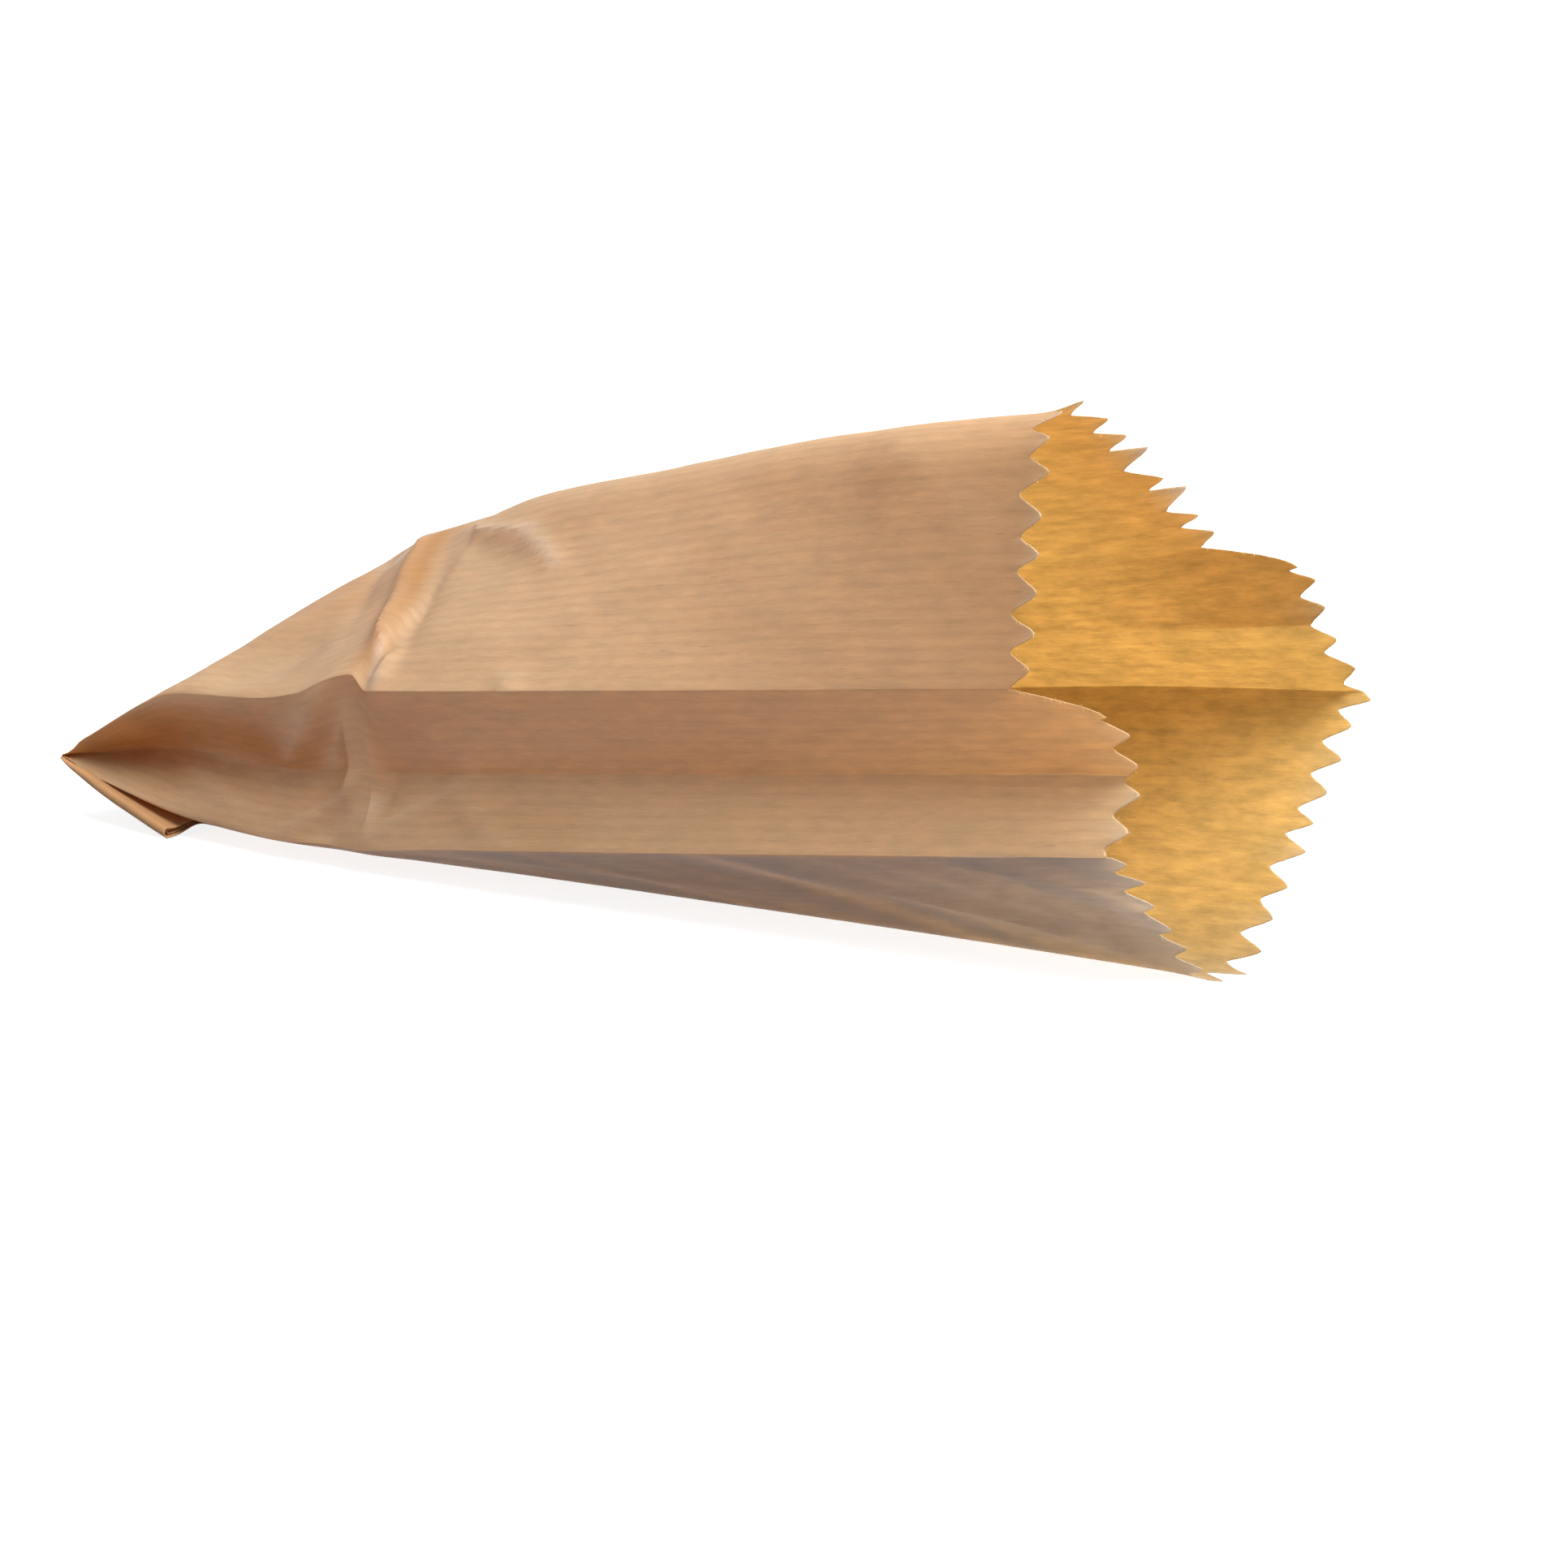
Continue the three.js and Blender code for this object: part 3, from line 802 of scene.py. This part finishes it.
class PAPERBAG_OT_hem(bpy.types.Operator):
    """Make the hem: the sealed layers folded under the closed end"""

    bl_idname = "paperbag.hem"
    bl_label = "Folded hem"

    def execute(self, context):
        sizes, colours = context.scene.bag_sizes, context.scene.bag_colours
        form = BagForm(sizes)
        half = sizes.width / 2 - 0.4
        profile = table_curve(HEM_UNDERSIDE + [(sizes.hem_length + 1.0, 0.15)])
        bm = bmesh.new()
        layer_uv = bm.loops.layers.uv.new("paper")
        # Two flattened tubes: the panels outside, the tucked gussets inside
        for inner, short, squeeze in ((0.0, 0.0, 1.0), (0.8, 0.5, 0.42)):
            reach = sizes.hem_length + 1.0 - short
            side = half - inner
            ring = []
            for j in range(HEM_COLUMNS + 1):
                ring.append((-side + 2 * side * j / HEM_COLUMNS, 0))
            for j in range(1, HEM_EDGE_STEPS):
                ring.append((side, j / HEM_EDGE_STEPS))
            for j in range(HEM_COLUMNS + 1):
                ring.append((side - 2 * side * j / HEM_COLUMNS, 1))
            for j in range(1, HEM_EDGE_STEPS):
                ring.append((-side, 1 - j / HEM_EDGE_STEPS))
            rows = []
            for i in range(HEM_ROWS + 1):
                t = i / HEM_ROWS
                x = 0.15 + (reach - 0.15) * t
                row = []
                for y, up in ring:
                    edge = ramp(abs(y) / half, 0.55, 0.45)
                    thick = squeeze * (0.45 + 1.3 * edge * edge) * min(1.0, 0.12 + x / 9.0)
                    # The folded sides are round
                    turn = math.sin(math.pi * up) if 0 < up < 1 else 0.0
                    out = y + math.copysign(0.35 * thick * turn, y)
                    # The tail bows up a little, short of each side
                    bow = 1.6 * math.exp(-(((half - abs(y) - 7.5) / 4.0) ** 2))
                    bow *= max(0.0, (x - 18.0) / 12.0) ** 2
                    ripple = 0.2 * noise.noise(Vector((x / 9.0, y / 7.0, inner)))
                    rise = thick * (0.5 - 0.5 * math.cos(math.pi * up)) + (1 - squeeze) * 0.7 * edge
                    z = profile(x)[0] + rise + bow + max(0.0, ripple) * min(1.0, x / 6.0)
                    row.append(bm.verts.new((x, out, z)))
                rows.append(row)
            count = len(ring)
            for a, b in zip(rows, rows[1:]):
                for j in range(count):
                    k = (j + 1) % count
                    face = bm.faces.new((a[j], a[k], b[k], b[j]))
                    face.smooth = True
                    for loop in face.loops:
                        loop[layer_uv].uv = ((loop.vert.co.y + 200.0) / 100.0, loop.vert.co.x / 100.0)
        mesh = bpy.data.meshes.new("folded_hem")
        bm.to_mesh(mesh)
        bm.free()
        mesh.transform(row_frame(form))
        obj = new_object("folded_hem", mesh)
        # The hem shows both faces of the kraft
        layers = (linear("#e2b27e"), colours.rib, sizes, 0.6, 0.4, 0.3, 0.05, 0.3)
        mesh.materials.append(kraft_material("hem_kraft", *layers))
        wall = obj.modifiers.new("paper", "SOLIDIFY")
        wall.thickness = 0.12 * MM
        wall.offset = 0.0
        plain_copy(obj)
        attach(obj, "root")
        return {"FINISHED"}


def fibre_tree(sizes, material):
    """Short loose fibres along the cut, as an instanced curve on points of the rim."""
    tree = bpy.data.node_groups.new("loose_fibres", "GeometryNodeTree")
    face = tree.interface
    face.new_socket("Geometry", in_out="INPUT", socket_type="NodeSocketGeometry")
    face.new_socket("Geometry", in_out="OUTPUT", socket_type="NodeSocketGeometry")
    for name, default in (("Spacing", 0.45 * MM), ("Length", 0.7 * MM), ("Thickness", 0.03 * MM)):
        socket = face.new_socket(name, in_out="INPUT", socket_type="NodeSocketFloat")
        socket.default_value = default
    source = add_node(tree, "NodeGroupInput")
    curve = add_node(tree, "GeometryNodeMeshToCurve", None, Mesh=source.outputs["Geometry"])
    points = add_node(
        tree,
        "GeometryNodeResampleCurve",
        {"mode": "LENGTH"},
        Curve=curve.outputs[0],
        Length=source.outputs["Spacing"],
    )
    size = source.outputs
    line = add_node(tree, "GeometryNodeCurvePrimitiveLine", {"mode": "DIRECTION"}, Length=size["Length"])
    line.inputs["Direction"].default_value = (1.0, 0.0, 0.0)
    circle = {"Resolution": 3, "Radius": size["Thickness"]}
    ring = add_node(tree, "GeometryNodeCurvePrimitiveCircle", {"mode": "RADIUS"}, **circle)
    swept = {"Curve": line.outputs[0], "Profile_Curve": ring.outputs[0]}
    tube = add_node(tree, "GeometryNodeCurveToMesh", None, **swept)
    tube.inputs["Fill Caps"].default_value = True
    turn = add_node(tree, "FunctionNodeRandomValue", {"data_type": "FLOAT_VECTOR"}, Seed=sizes.seed)
    turn.inputs[0].default_value = (-1.2, -1.2, -1.2)
    turn.inputs[1].default_value = (1.2, 1.2, 1.2)
    grow = add_node(tree, "FunctionNodeRandomValue", {"data_type": "FLOAT"}, Seed=sizes.seed + 1)
    grow.inputs[2].default_value = 0.25
    grow.inputs[3].default_value = 1.0
    copies = add_node(
        tree,
        "GeometryNodeInstanceOnPoints",
        None,
        Points=points.outputs[0],
        Instance=tube.outputs[0],
        Rotation=turn.outputs[0],
        Scale=grow.outputs[1],
    )
    real = add_node(tree, "GeometryNodeRealizeInstances", None, Geometry=copies.outputs[0])
    paint = add_node(tree, "GeometryNodeSetMaterial", None, Geometry=real.outputs[0])
    paint.inputs["Material"].default_value = material
    sink = add_node(tree, "NodeGroupOutput")
    tree.links.new(paint.outputs[0], sink.inputs[0])
    return tree


class PAPERBAG_OT_fibres(bpy.types.Operator):
    """Make the loose fibres that the saw leaves along the cut"""

    bl_idname = "paperbag.fibres"
    bl_label = "Loose fibres"

    def execute(self, context):
        sizes, colours = context.scene.bag_sizes, context.scene.bag_colours
        form = BagForm(sizes)
        sheet, rim = bag_sheet(form, sizes)
        bpy.data.meshes.remove(sheet)
        # The fibres start just inside the paper
        inner = [p - Vector((0.12, 0.0, 0.0)) for p in rim]
        mesh = bpy.data.meshes.new("cut_fibres")
        mesh.from_pydata(inner, [(i, (i + 1) % len(inner)) for i in range(len(inner))], [])
        mesh.transform(row_frame(form))
        obj = new_object("cut_fibres", mesh)
        # Torn wood fibre: matt and nearly white
        fibre = bpy.data.materials.new("torn_fibre")
        fibre.use_nodes = True
        tree = fibre.node_tree
        surface = tree.nodes["Principled BSDF"]
        where = add_node(tree, "ShaderNodeTexCoord")
        grain = add_node(tree, "ShaderNodeTexNoise", None, Vector=where.outputs["Object"], Scale=900.0)
        tint = add_node(
            tree,
            "ShaderNodeMix",
            {"data_type": "RGBA"},
            i0=grain.outputs[0],
            i6=rgba(colours.cut),
            i7=rgba(colours.inside),
        )
        tree.links.new(tint.outputs[2], surface.inputs["Base Color"])
        surface.inputs["Roughness"].default_value = 0.9
        group = fibre_tree(sizes, fibre)
        modifier = obj.modifiers.new("fibres", "NODES")
        modifier.node_group = group
        for item in group.interface.items_tree:
            if item.item_type == "SOCKET" and item.in_out == "INPUT" and item.name == "Spacing":
                modifier[item.identifier] = 0.42 * MM
        plain_copy(obj)
        if len(obj.data.polygons) == 0:
            raise RuntimeError("the fibres came out empty")
        if min(vertex.co.z for vertex in obj.data.vertices) < 0:
            for vertex in obj.data.vertices:
                vertex.co.z = max(vertex.co.z, 0.02 * MM)
        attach(obj, "root")
        return {"FINISHED"}


def seen_directly(tree):
    """1 for rays from the camera, a reflection or clear glass, and 0 for light spread by paper."""
    path = add_node(tree, "ShaderNodeLightPath")
    clear = add_node(
        tree,
        "ShaderNodeMath",
        {"operation": "SUBTRACT", "use_clamp": True},
        i0=path.outputs["Is Transmission Ray"],
        i1=path.outputs["Is Diffuse Ray"],
    )
    bounced = math_node(tree, "MAXIMUM", path.outputs["Is Glossy Ray"], clear.outputs[0])
    return math_node(tree, "MAXIMUM", path.outputs["Is Camera Ray"], bounced)


def aim(obj, target):
    obj.rotation_euler = (Vector(target) - obj.location).to_track_quat("-Z", "Y").to_euler()


def area_lamp(name, place, target, size, power, colour):
    lamp = bpy.data.lights.new(name, "AREA")
    lamp.shape = "RECTANGLE"
    lamp.size, lamp.size_y = size
    lamp.energy = power
    lamp.color = colour
    obj = bpy.data.objects.new(name, lamp)
    obj.location = place
    bpy.context.scene.collection.objects.link(obj)
    aim(obj, target)
    return obj


class PAPERBAG_OT_studio(bpy.types.Operator):
    """Make the pale floor, the lamps and the camera"""

    bl_idname = "paperbag.studio"
    bl_label = "Studio"

    def execute(self, context):
        scene = context.scene
        look = scene.studio_look
        mesh = bpy.data.meshes.new("floor")
        r = 9.0
        mesh.from_pydata([(-r, -r, 0), (r, -r, 0), (r, r, 0), (-r, r, 0)], [], [(0, 1, 2, 3)])
        floor = new_object("floor", mesh)
        floor.location.z = -0.02 * MM
        # White studio sheet: a matt floor that the camera sees lifted to white, with the shadow kept
        paint = bpy.data.materials.new("white_studio_sheet")
        paint.use_nodes = True
        tree = paint.node_tree
        tree.nodes.clear()
        out = add_node(tree, "ShaderNodeOutputMaterial")
        matt = add_node(tree, "ShaderNodeBsdfDiffuse", None, Color=(0.22, 0.23, 0.26, 1.0))
        soft = add_node(tree, "ShaderNodeBsdfDiffuse", None, Color=(0.46, 0.46, 0.46, 1.0))
        lift = add_node(tree, "ShaderNodeEmission", None, Color=(1.0, 1.0, 1.0, 1.0), Strength=0.85)
        seen = add_node(tree, "ShaderNodeAddShader", None, i0=soft.outputs[0], i1=lift.outputs[0])
        pick = add_node(
            tree, "ShaderNodeMixShader", None, i0=seen_directly(tree), i1=matt.outputs[0], i2=seen.outputs[0]
        )
        tree.links.new(pick.outputs[0], out.inputs["Surface"])
        mesh.materials.append(paint)

        world = bpy.data.worlds.new("studio")
        scene.world = world
        world.use_nodes = True
        tree = world.node_tree
        tree.nodes.clear()
        out = add_node(tree, "ShaderNodeOutputWorld")
        room = add_node(tree, "ShaderNodeBackground", None, Color=(0.93, 0.96, 1.0, 1.0), Strength=look.sky)
        white = add_node(tree, "ShaderNodeBackground", None, Color=(1.0, 1.0, 1.0, 1.0), Strength=1.0)
        pick = add_node(
            tree, "ShaderNodeMixShader", None, i0=seen_directly(tree), i1=room.outputs[0], i2=white.outputs[0]
        )
        tree.links.new(pick.outputs[0], out.inputs["Surface"])

        neutral, warm = (1.0, 1.0, 1.0), (1.0, 0.98, 0.94)
        area_lamp("key_lamp", (0.64, -0.16, 1.1), (0.0, 0.0, 0.05), (0.9, 0.7), look.key, neutral)
        area_lamp("back_lamp", (0.0, 0.95, 0.7), (0.03, 0.0, 0.05), (0.6, 0.6), look.key * 0.32, warm)

        azimuth, elevation = math.radians(look.azimuth), math.radians(look.elevation)
        level = math.cos(elevation)
        back = Vector((math.sin(azimuth) * level, -math.cos(azimuth) * level, math.sin(elevation)))
        camera = bpy.data.cameras.new("camera")
        camera.lens = look.lens
        camera.sensor_width = 36.0
        camera.clip_start, camera.clip_end = 0.01, 50.0
        obj = bpy.data.objects.new("camera", camera)
        obj.location = [place * MM for place in CAMERA_PLACE]
        obj.rotation_euler = back.to_track_quat("Z", "Y").to_euler()
        scene.collection.objects.link(obj)
        scene.camera = obj
        scene.view_settings.view_transform = "Standard"
        return {"FINISHED"}


class PAPERBAG_PT_panel(bpy.types.Panel):
    """Buttons and sizes of the paper bag"""

    bl_idname = "PAPERBAG_PT_panel"
    bl_label = "Paper Bag"
    bl_space_type = "VIEW_3D"
    bl_region_type = "UI"
    bl_category = "Paper Bag"

    def draw(self, context):
        layout = self.layout
        for operator in OPERATORS:
            layout.operator(operator.bl_idname)
        for group in (context.scene.bag_sizes, context.scene.bag_colours, context.scene.studio_look):
            box = layout.box()
            for name in group.bl_rna.properties.keys():
                if name not in {"rna_type", "name"}:
                    box.prop(group, name)


OPERATORS = (PAPERBAG_OT_sheet, PAPERBAG_OT_hem, PAPERBAG_OT_fibres, PAPERBAG_OT_studio)
CLASSES = (BagSizes, BagColours, StudioLook) + OPERATORS + (PAPERBAG_PT_panel,)


def register():
    for cls in CLASSES:
        bpy.utils.register_class(cls)
    bpy.types.Scene.bag_sizes = PointerProperty(type=BagSizes)
    bpy.types.Scene.bag_colours = PointerProperty(type=BagColours)
    bpy.types.Scene.studio_look = PointerProperty(type=StudioLook)


def unregister():
    del bpy.types.Scene.studio_look
    del bpy.types.Scene.bag_colours
    del bpy.types.Scene.bag_sizes
    for cls in reversed(CLASSES):
        bpy.utils.unregister_class(cls)


def main():
    register()
    bpy.ops.paperbag.sheet()
    bpy.ops.paperbag.hem()
    bpy.ops.paperbag.fibres()
    bpy.ops.paperbag.studio()


if __name__ == "__main__":
    main()
